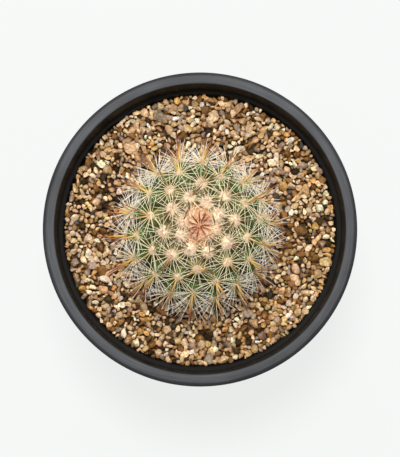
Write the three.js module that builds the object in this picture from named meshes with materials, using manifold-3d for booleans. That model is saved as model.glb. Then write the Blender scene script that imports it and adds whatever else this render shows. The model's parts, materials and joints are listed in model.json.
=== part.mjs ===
// A round cactus in a black plastic nursery pot, rooted in soil under a layer of gravel.
// Millimetres, +Z up, origin at the centre of the pot's base.

import * as THREE from 'three';
import { ConvexHull } from 'three/addons/math/ConvexHull.js';
import { mergeVertices } from 'three/addons/utils/BufferGeometryUtils.js';
import Module from 'manifold-3d';

const wasm = await Module();
wasm.setup();

// Pot
const POT_DIAMETER = 110;
const POT_HEIGHT = 88;
const BASE_DIAMETER = 79;
const WALL = 1.3;
const RIM_WIDTH = 4.4;
const RIM_DROP = 11;
const RIM_EDGE = 1;
const RIM_INNER_EDGE = 0.6;
const SKIRT_TAPER = 0.5;
const LEDGE_DEPTH = 10;
const LEDGE_WIDTH = 1.3;
const MOUTH_TAPER = 0.7;
const STEP_SLOPE = 0.4;
const FOOT_HEIGHT = 2;
const FOOT_WIDTH = 4;
const FOOT_SLOPE = 1;
const FOOT_CHAMFER = 0.7;
const FLOOR_THICKNESS = 1.5;
const DRAIN_COUNT = 6;
const DRAIN_DIAMETER = 7;
const DRAIN_CIRCLE = 54;
const NOTCH_WIDTH = 9;
const NOTCH_HEIGHT = 1.2;
const SIDES = 48;
const HOLE_SIDES = 12;

// Filling
const GAP = 0.3;
const GRAVEL_BELOW_RIM = 12;
const GRAVEL_DEPTH = 10;
const STONE_PITCH = 3.6;
const STONE_RELIEF = 1.3;
const STONE_PEAKS = [0.1, 1];
const STONE_LOWS = [0.4, 1];
const STONE_SHIFT = 0.24;

// Plant
const BALL_RADIUS = 24.6;
const MIDDLE_ABOVE_GRAVEL = 14;
const LOWER_HALF = 20;
const TUBERCLE_HEIGHT = 5;
const YOUNG_TUBERCLE_HEIGHT = 2;
const FIRST_PAIR = 0;
const LAST_PAIR = 34;
const PAIR_TURN = 39.75;
const PAIR_START = 130.5;
const CROWN_ARC = 4.4;
const ARC_STEP = 1.39;
const TUBERCLE_SIDES = 6;
const SHOULDER_SHARE = 0.32;
const SHOULDER_ROOM = 1.5;
const SADDLE_SHARE = 0.8;
const CROWN_RING_SHARE = 0.45;
const CROWN_RING_DEPTH = 0.5;
const WOOL_RADIUS = 1.2;
const YOUNG_WOOL_RADIUS = 1.4;
const WOOL_HEIGHT = 0.8;
const YOUNG_ANGLE = 0.6;
const UPTURN = 0.35;
const RADIAL_COUNT = 7;
const RADIAL_LENGTH = 8.2;
const RADIAL_LIFT = [0.2, 0.4];
const RADIAL_TURN_SPREAD = 0.15;
const RADIAL_LENGTH_SPREAD = [0.85, 1.05];
const CENTRAL_LENGTH = 11.6;
const CENTRAL_LENGTH_SPREAD = [0.85, 1];
const YOUNG_CENTRAL_SHARE = 0.5;
const SECOND_CENTRAL_GROWTH = 0.4;
const CENTRAL_SPLAY = [0.1, 0.6];
const YOUNG_CENTRAL_LIFT = 1.05;
const OLD_CENTRAL_LIFT = 0.6;
const LIFT_SPREAD = 0.15;
const CROWN_SPINE_COUNT = 12;
const CROWN_SPINE_LENGTH = 5.6;
const CROWN_SPINE_LEAN = [1, 1.25];
const CROWN_TURN_SPREAD = 0.2;
const SPINE_THICKNESS = 0.5;
const CENTRAL_THICKNESS = 0.65;
const SPINE_ROOT = 1.1;
const SPINE_CLEARANCE = 0.4;
const SPINE_BEND = 0.2;
const STEM_RADIUS = 15;
const STEM_TAPER = 1;
const ROOT_LENGTH = 30;
const ROOT_SHOULDER = { radius: 9, share: 0.6 };
const ROOT_END = { radius: 4, share: 0.88 };
const PLANT_FOOT = new THREE.Vector2(-1.6, -0.8);
const LEAN = new THREE.Vector2(0.0366, 0.018);
const SEED = 11;

// Finishes
const BLACK_PLASTIC = { color: 0x3a3b3d, roughness: 0.5, metalness: 0 };
const BROWN_SOIL = { color: 0x2e2219, roughness: 0.95, metalness: 0 };
const TAN_GRAVEL = { color: 0x997c59, roughness: 0.8, metalness: 0 };
const GREEN_SKIN = { color: 0x55793f, roughness: 0.6, metalness: 0 };

// Worked out from those
const POT_RADIUS = POT_DIAMETER / 2;
const BASE_RADIUS = BASE_DIAMETER / 2;
const FLOOR_TOP = FOOT_HEIGHT + FLOOR_THICKNESS;
const LEDGE_Z = POT_HEIGHT - LEDGE_DEPTH;
const MOUTH_RADIUS = POT_RADIUS - RIM_WIDTH;
const LEDGE_RADIUS = MOUTH_RADIUS - LEDGE_WIDTH - MOUTH_TAPER;
const GRAVEL_TOP = POT_HEIGHT - GRAVEL_BELOW_RIM;
const SOIL_TOP = GRAVEL_TOP - GRAVEL_DEPTH;
const PLANT_MIDDLE = GRAVEL_TOP + MIDDLE_ABOVE_GRAVEL;
const LOWEST_SPINE = GRAVEL_TOP + STONE_RELIEF + SPINE_CLEARANCE;

// Corners nearer than this are one corner.
const MERGE_DISTANCE = 1e-4;

const random = THREE.MathUtils.seededRandom;
random(SEED);

function between(low, high) {
  return low + (high - low) * random();
}

// A closed geometry as a solid: its shared corners merged and its empty triangles dropped.
function solidOf(geometry) {
  const bare = geometry.clone();
  bare.deleteAttribute('normal');
  bare.deleteAttribute('uv');
  const merged = mergeVertices(bare, MERGE_DISTANCE);
  const corners = merged.index.array;
  const kept = [];
  for (let i = 0; i < corners.length; i += 3) {
    const [a, b, c] = corners.slice(i, i + 3);
    if (a !== b && b !== c && c !== a) {
      kept.push(a, b, c);
    }
  }
  const vertProperties = new Float32Array(merged.attributes.position.array);
  const triVerts = new Uint32Array(kept);
  return new wasm.Manifold(new wasm.Mesh({ numProp: 3, vertProperties, triVerts }));
}

function solidFrom(points, triangles) {
  const geometry = new THREE.BufferGeometry().setFromPoints(points);
  geometry.setIndex(triangles.flat());
  return solidOf(geometry);
}

function meshOf(name, solid, finish) {
  const { vertProperties, triVerts } = solid.getMesh();
  const geometry = new THREE.BufferGeometry();
  geometry.setAttribute('position', new THREE.BufferAttribute(vertProperties, 3));
  geometry.setIndex(new THREE.BufferAttribute(triVerts, 1));
  geometry.computeVertexNormals();
  const mesh = new THREE.Mesh(geometry, new THREE.MeshStandardMaterial(finish));
  mesh.name = name;
  return mesh;
}

// A turned solid: profile points are [radius, height], counter-clockwise from the bottom.
function turned(profile, sides) {
  const points = profile.map(([radius, height]) => new THREE.Vector2(radius, height));
  return solidOf(new THREE.LatheGeometry(points, sides).rotateX(Math.PI / 2));
}

// The inside of the pot's wall below the ledge, as a radius at a height.
function wallInside(z) {
  const rise = (z - FLOOR_TOP) / (LEDGE_Z - FLOOR_TOP);
  return THREE.MathUtils.lerp(BASE_RADIUS - WALL, LEDGE_RADIUS, rise);
}

// One moulding: a raised floor inside a notched foot ring, a tapered wall that steps out at a
// ledge, and a rim that turns out and down. Its floor has a ring of drain holes and one in the middle.
function makePot() {
  const drainRadius = DRAIN_DIAMETER / 2;
  const rimUnderside = POT_HEIGHT - WALL;
  const skirtBottom = POT_HEIGHT - RIM_DROP;
  const round = (centreR, centreZ, radius, degrees) => {
    const angle = THREE.MathUtils.degToRad(degrees);
    return [centreR + radius * Math.cos(angle), centreZ + radius * Math.sin(angle)];
  };
  const outerCentre = [POT_RADIUS - RIM_EDGE, POT_HEIGHT - RIM_EDGE, RIM_EDGE];
  const innerCentre = [MOUTH_RADIUS + RIM_INNER_EDGE, POT_HEIGHT - RIM_INNER_EDGE, RIM_INNER_EDGE];
  const profile = [
    [drainRadius, FOOT_HEIGHT],
    [BASE_RADIUS - FOOT_WIDTH - FOOT_SLOPE, FOOT_HEIGHT],
    [BASE_RADIUS - FOOT_WIDTH, 0],
    [BASE_RADIUS - FOOT_CHAMFER, 0],
    [BASE_RADIUS, FOOT_CHAMFER],
    [LEDGE_RADIUS + WALL, LEDGE_Z - WALL],
    [MOUTH_RADIUS + WALL - STEP_SLOPE, LEDGE_Z],
    [MOUTH_RADIUS + WALL, rimUnderside],
    [POT_RADIUS - WALL, rimUnderside],
    [POT_RADIUS - WALL - SKIRT_TAPER, skirtBottom],
    [POT_RADIUS - SKIRT_TAPER, skirtBottom],
    round(...outerCentre, 0),
    round(...outerCentre, 45),
    round(...outerCentre, 90),
    round(...innerCentre, 90),
    round(...innerCentre, 135),
    round(...innerCentre, 180),
    [MOUTH_RADIUS - MOUTH_TAPER, LEDGE_Z + MOUTH_TAPER],
    [LEDGE_RADIUS, LEDGE_Z],
    [wallInside(FLOOR_TOP), FLOOR_TOP],
    [drainRadius, FLOOR_TOP],
    [drainRadius, FOOT_HEIGHT],
  ];
  let pot = turned(profile, SIDES);
  for (let k = 0; k < DRAIN_COUNT; k += 1) {
    const turn = ((k + 0.5) * 2 * Math.PI) / DRAIN_COUNT;
    const drill = new THREE.CylinderGeometry(drainRadius, drainRadius, 3 * FLOOR_TOP, HOLE_SIDES);
    drill.rotateX(Math.PI / 2).translate(DRAIN_CIRCLE / 2, 0, FLOOR_TOP).rotateZ(turn);
    const notch = new THREE.BoxGeometry(3 * FOOT_WIDTH, NOTCH_WIDTH, 2 * NOTCH_HEIGHT);
    notch.translate(BASE_RADIUS, 0, 0).rotateZ(turn);
    pot = pot.subtract(solidOf(drill)).subtract(solidOf(notch));
  }
  return pot;
}

// The stem base and tap root below the gravel's surface, as [radius, height], grown by a clearance.
function rootProfile(clearance) {
  const top = GRAVEL_TOP + MIDDLE_ABOVE_GRAVEL / 2;
  return [
    [0, GRAVEL_TOP - ROOT_LENGTH - clearance],
    [ROOT_END.radius + clearance, GRAVEL_TOP - ROOT_END.share * ROOT_LENGTH - clearance],
    [ROOT_SHOULDER.radius + clearance, GRAVEL_TOP - ROOT_SHOULDER.share * ROOT_LENGTH - clearance],
    [STEM_RADIUS - STEM_TAPER + clearance, SOIL_TOP - clearance],
    [STEM_RADIUS + clearance, GRAVEL_TOP],
    [STEM_RADIUS + clearance, top],
    [0, top],
  ];
}

function rootHole() {
  return turned(rootProfile(GAP), SIDES / 2).translate([PLANT_FOOT.x, PLANT_FOOT.y, 0]);
}

function makeSoil() {
  const bottom = FLOOR_TOP + GAP;
  const top = SOIL_TOP - GAP;
  const fill = turned([
    [0, bottom],
    [wallInside(bottom) - GAP, bottom],
    [wallInside(top) - GAP, top],
    [0, top],
  ], SIDES);
  return fill.subtract(rootHole());
}

// A field of stones: peaks on a shifted triangular lattice, with a low corner in the middle of
// each three peaks. The field is given walls and a bottom, then cut to the pot and to the stem.
function stoneField() {
  const reach = Math.ceil(POT_RADIUS / STONE_PITCH) + 2;
  const bottom = SOIL_TOP - GRAVEL_DEPTH;
  const points = [];
  const peaks = new Map();
  const lows = new Map();
  const addPoint = (x, y, z) => points.push(new THREE.Vector3(x, y, z)) - 1;
  for (let i = -2 * reach; i <= 2 * reach; i += 1) {
    for (let j = -reach; j <= reach; j += 1) {
      const shift = STONE_PITCH * STONE_SHIFT;
      const x = (i + j / 2) * STONE_PITCH + between(-shift, shift);
      const y = j * STONE_PITCH * Math.sqrt(0.75) + between(-shift, shift);
      const height = GRAVEL_TOP + STONE_RELIEF * between(...STONE_PEAKS);
      peaks.set(`${i},${j}`, addPoint(x, y, height));
    }
  }
  const lowBetween = (...keys) => {
    const key = keys.join(' ');
    const corners = keys.map((name) => points[peaks.get(name)]);
    if (!lows.has(key) && corners.every(Boolean)) {
      const middle = new THREE.Vector3();
      corners.forEach((corner) => middle.addScaledVector(corner, 1 / corners.length));
      const height = GRAVEL_TOP - STONE_RELIEF * between(...STONE_LOWS);
      lows.set(key, addPoint(middle.x, middle.y, height));
    }
    return lows.get(key);
  };
  const upper = (i, j) => lowBetween(`${i},${j}`, `${i + 1},${j}`, `${i},${j + 1}`);
  const lower = (i, j) => lowBetween(`${i + 1},${j}`, `${i + 1},${j + 1}`, `${i},${j + 1}`);
  const top = [];
  for (const [key, peak] of peaks) {
    const [i, j] = key.split(',').map(Number);
    const ring = [
      upper(i, j), lower(i - 1, j), upper(i - 1, j),
      lower(i - 1, j - 1), upper(i, j - 1), lower(i, j - 1),
    ];
    const { x, y } = points[peak];
    if (ring.every((corner) => corner !== undefined) && Math.hypot(x, y) < POT_RADIUS) {
      ring.forEach((corner, k) => top.push([peak, corner, ring[(k + 1) % ring.length]]));
    }
  }
  const count = points.length;
  const floor = points.map((point) => new THREE.Vector3(point.x, point.y, bottom));
  const edges = new Set();
  top.forEach(([a, b, c]) => edges.add(`${a},${b}`).add(`${b},${c}`).add(`${c},${a}`));
  const walls = [];
  for (const edge of edges) {
    const [a, b] = edge.split(',').map(Number);
    if (!edges.has(`${b},${a}`)) {
      walls.push([b, a, a + count], [b, a + count, b + count]);
    }
  }
  const under = top.map(([a, b, c]) => [a + count, c + count, b + count]);
  return solidFrom([...points, ...floor], [...top, ...under, ...walls]);
}

function makeGravel() {
  const bed = turned([
    [0, SOIL_TOP],
    [wallInside(SOIL_TOP) - GAP, SOIL_TOP],
    [wallInside(LEDGE_Z) - GAP, LEDGE_Z],
    [0, LEDGE_Z],
  ], SIDES);
  return stoneField().intersect(bed).subtract(rootHole());
}

// A place on the plant. angle runs from the crown down and turn runs round it, both in radians.
// depth is how far the place lies below the ball that the tubercles' tips touch.
// The lower half is flatter than the upper, and the plant leans a little as it rises.
function plantPoint(angle, turn, depth) {
  const shrink = 1 - depth / BALL_RADIUS;
  const half = Math.cos(angle) > 0 ? BALL_RADIUS : LOWER_HALF;
  const radius = BALL_RADIUS * Math.sin(angle) * shrink;
  const z = PLANT_MIDDLE + half * Math.cos(angle) * shrink;
  const rise = Math.max(z - GRAVEL_TOP, 0);
  return new THREE.Vector3(
    PLANT_FOOT.x + LEAN.x * rise + radius * Math.cos(turn),
    PLANT_FOOT.y + LEAN.y * rise + radius * Math.sin(turn),
    z,
  );
}

// How far a tubercle has grown, from 0 at the crown to 1 on the flank.
function growth(angle) {
  return THREE.MathUtils.smoothstep(angle * BALL_RADIUS, CROWN_ARC, BALL_RADIUS);
}

// The tubercles stand in opposite pairs. Each pair is turned from the last by the same angle and
// lies the same arc further from the crown, which gives the plant its two sets of spirals.
function listAreoles() {
  const areoles = [];
  for (let pair = FIRST_PAIR; pair <= LAST_PAIR; pair += 1) {
    for (const side of [0, Math.PI]) {
      const angle = (CROWN_ARC + ARC_STEP * pair) / BALL_RADIUS;
      const turn = THREE.MathUtils.degToRad(PAIR_START + PAIR_TURN * pair) + side;
      areoles.push({ angle, turn, grown: growth(angle) });
    }
  }
  return areoles;
}

function unitPoint(angle, turn) {
  return new THREE.Vector3(
    Math.sin(angle) * Math.cos(turn),
    Math.sin(angle) * Math.sin(turn),
    Math.cos(angle),
  );
}

// The three directions at an areole: out along its tubercle, down the flank, and across.
function areoleFrame({ angle, turn }) {
  const out = unitPoint(angle, turn);
  const down = unitPoint(angle + Math.PI / 2, turn);
  const across = new THREE.Vector3().crossVectors(out, down);
  return { out, down, across };
}

function hullFaces(points) {
  const numbers = new Map(points.map((point, k) => [point, k]));
  return new ConvexHull().setFromPoints(points).faces.map((face) => {
    const corners = [];
    for (let k = 0, edge = face.edge; k < 3; k += 1, edge = edge.next) {
      corners.push(numbers.get(edge.head().point));
    }
    return corners;
  });
}

// The stem and its tubercles as one skin. Corners are set out on a unit sphere, where their convex
// hull says which ones are joined, and each is then moved to its own place on the plant.
function makeStem(areoles) {
  const marks = [];
  const places = [];
  const add = (mark, place) => {
    marks.push(mark);
    places.push(place);
  };
  const addOnPlant = (mark, depth) => {
    const angle = Math.acos(THREE.MathUtils.clamp(mark.z, -1, 1));
    add(mark, plantPoint(angle, Math.atan2(mark.y, mark.x), depth));
  };

  const axilDepth = (angle) => {
    return THREE.MathUtils.lerp(YOUNG_TUBERCLE_HEIGHT, TUBERCLE_HEIGHT, growth(angle));
  };
  const addRing = (areole, radius, start, depth) => {
    const { out, down, across } = areoleFrame(areole);
    for (let k = 0; k < TUBERCLE_SIDES; k += 1) {
      const around = ((k + start) * 2 * Math.PI) / TUBERCLE_SIDES;
      const mark = out.clone();
      mark.addScaledVector(down, (radius / BALL_RADIUS) * Math.cos(around));
      mark.addScaledVector(across, (radius / BALL_RADIUS) * Math.sin(around));
      addOnPlant(mark.normalize(), depth);
    }
  };
  for (const areole of areoles) {
    const spacing = Math.sqrt(Math.PI * ARC_STEP * BALL_RADIUS * Math.sin(areole.angle));
    const shoulder = SHOULDER_SHARE * spacing;
    const wool = THREE.MathUtils.lerp(YOUNG_WOOL_RADIUS, WOOL_RADIUS, areole.grown);
    addOnPlant(unitPoint(areole.angle, areole.turn), -WOOL_HEIGHT);
    addRing(areole, wool, 0, 0);
    if (shoulder > SHOULDER_ROOM * wool) {
      addRing(areole, shoulder, 0.5, SHOULDER_SHARE * axilDepth(areole.angle));
    }
  }

  const addAxil = (corners, share) => {
    const mark = new THREE.Vector3();
    corners.forEach((corner) => mark.add(corner));
    mark.normalize();
    addOnPlant(mark, axilDepth(Math.acos(mark.z)) * share);
  };
  const tips = areoles.map(({ angle, turn }) => unitPoint(angle, turn));
  const fences = [unitPoint(0, 0), unitPoint(Math.PI, 0)];
  const seen = new Set();
  for (const face of hullFaces([...tips, ...fences])) {
    if (face.every((corner) => corner < tips.length)) {
      addAxil(face.map((corner) => tips[corner]), 1);
    }
    face.forEach((from, k) => {
      const to = face[(k + 1) % face.length];
      const key = [Math.min(from, to), Math.max(from, to)].join(',');
      if (Math.max(from, to) < tips.length && !seen.has(key)) {
        seen.add(key);
        addAxil([tips[from], tips[to]], SADDLE_SHARE);
      }
    });
  }

  const crownAngle = (CROWN_RING_SHARE * CROWN_ARC) / BALL_RADIUS;
  addOnPlant(unitPoint(0, 0), 0);
  for (let k = 0; k < TUBERCLE_SIDES; k += 1) {
    addOnPlant(unitPoint(crownAngle, (k * 2 * Math.PI) / TUBERCLE_SIDES), CROWN_RING_DEPTH);
  }

  const stemSides = SIDES / 2;
  const underBall = Math.acos(-MIDDLE_ABOVE_GRAVEL / LOWER_HALF);
  const rings = [[STEM_RADIUS, LOWEST_SPINE], ...rootProfile(0).slice(1, 5).reverse()];
  rings.forEach(([radius, z], row) => {
    const angle = THREE.MathUtils.lerp(underBall, Math.PI, row / rings.length);
    for (let k = 0; k < stemSides; k += 1) {
      const turn = (k * 2 * Math.PI) / stemSides;
      const x = PLANT_FOOT.x + radius * Math.cos(turn);
      const y = PLANT_FOOT.y + radius * Math.sin(turn);
      add(unitPoint(angle, turn), new THREE.Vector3(x, y, z));
    }
  });
  const rootTip = new THREE.Vector3(PLANT_FOOT.x, PLANT_FOOT.y, GRAVEL_TOP - ROOT_LENGTH);
  add(unitPoint(Math.PI, 0), rootTip);
  return solidFrom(places, hullFaces(marks));
}

// A three-sided needle from its root to its tip.
function needle(root, tip, thickness) {
  const along = new THREE.Vector3().subVectors(tip, root).normalize();
  const side = new THREE.Vector3(-along.y, along.x, 0);
  side.setLength(thickness / 2);
  const corners = [0, 1, 2].map((k) => {
    const turn = (k * 2 * Math.PI) / 3;
    return root.clone().add(side.clone().applyAxisAngle(along, turn));
  });
  return solidFrom([...corners, tip], [[2, 1, 0], [0, 1, 3], [1, 2, 3], [2, 0, 3]]);
}

// Spines near the gravel are bent outwards until their tips are clear of it.
function spine(seat, aim, length, thickness, outward) {
  const heading = aim.clone().normalize();
  while (seat.z + heading.z * length < LOWEST_SPINE) {
    heading.addScaledVector(outward, SPINE_BEND).normalize();
  }
  return needle(seat, seat.clone().addScaledVector(heading, length), thickness);
}

// Radial spines lie in a fan all round the wool, and the fans of old tubercles turn up towards the
// light. Central spines stand out of the wool's middle and lean away from the crown.
function areoleSpines(areole) {
  const age = THREE.MathUtils.smoothstep(areole.angle, YOUNG_ANGLE, Math.PI / 2);
  const facing = areole.angle * (1 - UPTURN * age);
  const { out, down, across } = areoleFrame({ angle: facing, turn: areole.turn });
  const outward = new THREE.Vector3(Math.cos(areole.turn), Math.sin(areole.turn), 0);
  const seat = plantPoint(areole.angle, areole.turn, SPINE_ROOT);
  const towards = (around, lift) => {
    const aim = out.clone().multiplyScalar(Math.sin(lift));
    aim.addScaledVector(down, Math.cos(lift) * Math.cos(around));
    return aim.addScaledVector(across, Math.cos(lift) * Math.sin(around));
  };
  const spines = [];
  const start = between(0, 2 * Math.PI);
  for (let k = 0; k < RADIAL_COUNT; k += 1) {
    const place = k + between(-RADIAL_TURN_SPREAD, RADIAL_TURN_SPREAD);
    const aim = towards(start + (place * 2 * Math.PI) / RADIAL_COUNT, between(...RADIAL_LIFT));
    const length = RADIAL_LENGTH * between(...RADIAL_LENGTH_SPREAD);
    spines.push(spine(seat, aim, length, SPINE_THICKNESS, outward));
  }
  const lift = THREE.MathUtils.lerp(YOUNG_CENTRAL_LIFT, OLD_CENTRAL_LIFT, age);
  const share = THREE.MathUtils.lerp(YOUNG_CENTRAL_SHARE, 1, areole.grown);
  for (const side of areole.grown > SECOND_CENTRAL_GROWTH ? [-1, 1] : [1]) {
    const aim = towards(side * between(...CENTRAL_SPLAY), lift + between(-LIFT_SPREAD, LIFT_SPREAD));
    const length = CENTRAL_LENGTH * share * between(...CENTRAL_LENGTH_SPREAD);
    spines.push(spine(seat, aim, length, CENTRAL_THICKNESS, outward));
  }
  return spines;
}

// The young spines at the growing point lie as a star over the crown's wool.
function crownSpines() {
  const seat = plantPoint(0, 0, SPINE_ROOT);
  const spines = [];
  for (let k = 0; k < CROWN_SPINE_COUNT; k += 1) {
    const place = k + between(-CROWN_TURN_SPREAD, CROWN_TURN_SPREAD);
    const turn = (place * 2 * Math.PI) / CROWN_SPINE_COUNT;
    const aim = unitPoint(between(...CROWN_SPINE_LEAN), turn);
    spines.push(needle(seat, seat.clone().addScaledVector(aim, CROWN_SPINE_LENGTH), SPINE_THICKNESS));
  }
  return spines;
}

function makeCactus() {
  const areoles = listAreoles();
  const spines = [...areoles.flatMap(areoleSpines), ...crownSpines()];
  return spines.reduce((plant, each) => plant.add(each), makeStem(areoles));
}

const pottedCactus = new THREE.Group();
pottedCactus.add(meshOf('pot', makePot(), BLACK_PLASTIC));
pottedCactus.add(meshOf('soil', makeSoil(), BROWN_SOIL));
pottedCactus.add(meshOf('gravel', makeGravel(), TAN_GRAVEL));
pottedCactus.add(meshOf('cactus', makeCactus(), GREEN_SKIN));

export default pottedCactus;
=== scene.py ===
"""A round cactus in a black nursery pot under gravel, seen almost from straight above.

Metres, +Z up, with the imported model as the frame. Sections follow the object as it is put together:
pot, soil, gravel, then the plant's stem, wool and spines, after the camera, the floor and the light.
"""

import json
import math

import bpy
import numpy as np
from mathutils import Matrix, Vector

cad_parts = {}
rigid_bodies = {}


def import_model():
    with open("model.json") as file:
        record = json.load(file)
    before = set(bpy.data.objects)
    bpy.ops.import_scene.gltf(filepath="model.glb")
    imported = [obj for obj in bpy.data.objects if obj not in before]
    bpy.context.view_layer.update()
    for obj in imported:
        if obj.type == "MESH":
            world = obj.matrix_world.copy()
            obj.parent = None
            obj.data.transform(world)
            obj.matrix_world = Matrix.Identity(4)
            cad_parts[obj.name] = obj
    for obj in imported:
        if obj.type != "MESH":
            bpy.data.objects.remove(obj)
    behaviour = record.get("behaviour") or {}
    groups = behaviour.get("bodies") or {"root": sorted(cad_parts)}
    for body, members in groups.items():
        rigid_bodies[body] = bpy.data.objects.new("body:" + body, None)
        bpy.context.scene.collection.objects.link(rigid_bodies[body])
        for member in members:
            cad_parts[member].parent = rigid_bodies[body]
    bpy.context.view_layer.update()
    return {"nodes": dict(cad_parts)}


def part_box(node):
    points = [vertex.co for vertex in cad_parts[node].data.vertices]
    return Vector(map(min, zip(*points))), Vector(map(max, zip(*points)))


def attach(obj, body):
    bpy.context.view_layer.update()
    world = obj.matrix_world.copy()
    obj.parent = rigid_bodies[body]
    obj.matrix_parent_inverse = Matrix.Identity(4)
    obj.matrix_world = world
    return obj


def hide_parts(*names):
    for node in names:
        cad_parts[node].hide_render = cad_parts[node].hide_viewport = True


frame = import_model()
MM = 0.001

# Camera. It looks down on the pot from a little in front of it, at the angle that shows the gravel's
# edge slightly low in the rim. The rim's plane is 400 pixels of 0.348 mm wide.
CAMERA_ELEVATION = math.radians(87.4)
CAMERA_DISTANCE = 600 * MM
IMAGE_WIDTH = 400
PIXEL_AT_RIM = 0.348
SEEN_WIDTH = IMAGE_WIDTH * PIXEL_AT_RIM * MM
SENSOR_WIDTH = 36.0
pot_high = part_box("pot")[1]
rim_centre = np.array([0.0, 0.0, pot_high.z])
camera_data = bpy.data.cameras.new("camera")
camera_data.sensor_fit = "HORIZONTAL"
camera_data.sensor_width = SENSOR_WIDTH
camera_data.lens = SENSOR_WIDTH * CAMERA_DISTANCE / SEEN_WIDTH
camera = bpy.data.objects.new("camera", camera_data)
camera_offset = np.array([0.0, -math.cos(CAMERA_ELEVATION), math.sin(CAMERA_ELEVATION)])
camera.location = rim_centre + CAMERA_DISTANCE * camera_offset
camera.rotation_euler = (math.pi / 2 - CAMERA_ELEVATION, 0.0, 0.0)
bpy.context.scene.collection.objects.link(camera)
bpy.context.scene.camera = camera

# Floor and light. A plain white table under two soft lamps, one nearly overhead and a weaker one
# farther back, so shadows are short and fall towards the viewer.
FLOOR_SIZE = 6.0
FLOOR_WHITE = (0.09, 0.0915, 0.091)
FLOOR_GLOW = 0.815
FLOOR_GLOW_COLOUR = (0.985, 1.0, 0.99, 1.0)
LIGHTS = {
    "soft_top": dict(place=(-0.04, 0.28, 1.3), size=0.32, power=19.2),
    "soft_back": dict(place=(-0.15, 0.95, 0.95), size=0.5, power=3.2),
}
LIT_POINT = np.array([0.0, 0.0, 0.06])
ROOM_COLOUR = (1.0, 0.95, 0.84, 1.0)
ROOM_STRENGTH = 0.2


def add_piece(name, points, *face_sets, smooth=True):
    """Makes a mesh object at the origin from points (n, 3) and arrays of faces (m, corners)."""
    mesh = bpy.data.meshes.new(name)
    sizes = np.concatenate([np.full(len(faces), faces.shape[1]) for faces in face_sets])
    corners = np.concatenate([faces.ravel() for faces in face_sets])
    mesh.vertices.add(len(points))
    mesh.vertices.foreach_set("co", np.asarray(points, np.float32).ravel())
    mesh.loops.add(len(corners))
    mesh.loops.foreach_set("vertex_index", corners.astype(np.int32))
    mesh.polygons.add(len(sizes))
    mesh.polygons.foreach_set("loop_start", (np.cumsum(sizes) - sizes).astype(np.int32))
    mesh.polygons.foreach_set("use_smooth", np.full(len(sizes), smooth))
    mesh.update(calc_edges=True)
    piece = bpy.data.objects.new(name, mesh)
    bpy.context.scene.collection.objects.link(piece)
    return piece


def new_material(name, roughness=0.5, **numbers):
    """A material with its output shader, whose uniform numbers are set on the shader's own sockets."""
    material = bpy.data.materials.new(name)
    material.use_nodes = True
    tree = material.node_tree
    shader = tree.nodes["Principled BSDF"]
    shader.inputs["Roughness"].default_value = roughness
    for socket, value in numbers.items():
        shader.inputs[socket.replace("_", " ")].default_value = value
    return material, tree, shader


def add_node(tree, kind, inputs=None, **settings):
    """Adds a node, sets its properties, and sets or links its inputs by name or number."""
    node = tree.nodes.new(kind)
    for key, value in settings.items():
        setattr(node, key, value)
    for key, value in (inputs or {}).items():
        if isinstance(value, bpy.types.NodeSocket):
            tree.links.new(value, node.inputs[key])
        else:
            node.inputs[key].default_value = value
    return node


def ramp(tree, factor, stops):
    """A colour ramp through (place, colour) stops."""
    node = add_node(tree, "ShaderNodeValToRGB", {"Fac": factor})
    elements = node.color_ramp.elements
    while len(elements) < len(stops):
        elements.new(0.5)
    for element, (place, colour) in zip(elements, stops):
        element.position = place
        element.color = (*colour, 1.0)
    return node.outputs["Color"]


half = FLOOR_SIZE / 2
floor_corners = np.array([[-half, -half, 0], [half, -half, 0], [half, half, 0], [-half, half, 0]])
floor = add_piece("floor", floor_corners, np.array([[0, 1, 2, 3]]), smooth=False)
floor_paint, tree, shader = new_material("floor_white", roughness=0.9, Specular_IOR_Level=0.1)
shader.inputs["Emission Color"].default_value = FLOOR_GLOW_COLOUR
shader.inputs["Emission Strength"].default_value = FLOOR_GLOW
object_space = add_node(tree, "ShaderNodeTexCoord").outputs["Object"]
floor_noise = add_node(tree, "ShaderNodeTexNoise", {"Vector": object_space, "Scale": 3.0, "Detail": 2.0})
floor_tint = [(0.3, FLOOR_WHITE), (0.7, tuple(0.985 * c for c in FLOOR_WHITE))]
tree.links.new(ramp(tree, floor_noise.outputs["Fac"], floor_tint), shader.inputs["Base Color"])
floor.data.materials.append(floor_paint)
for name, light in LIGHTS.items():
    lamp = bpy.data.lights.new(name, "AREA")
    lamp.shape = "DISK"
    lamp.size = light["size"]
    lamp.energy = light["power"]
    holder = bpy.data.objects.new(name, lamp)
    holder.location = light["place"]
    aim = LIT_POINT - np.array(light["place"])
    tilt = math.acos(-aim[2] / np.linalg.norm(aim))
    holder.rotation_euler = (tilt, 0.0, math.atan2(-aim[0], aim[1]))
    bpy.context.scene.collection.objects.link(holder)
world = bpy.data.worlds.new("studio")
world.use_nodes = True
world.node_tree.nodes["Background"].inputs["Color"].default_value = ROOM_COLOUR
world.node_tree.nodes["Background"].inputs["Strength"].default_value = ROOM_STRENGTH
bpy.context.scene.world = world
bpy.context.scene.view_settings.view_transform = "Standard"

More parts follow.
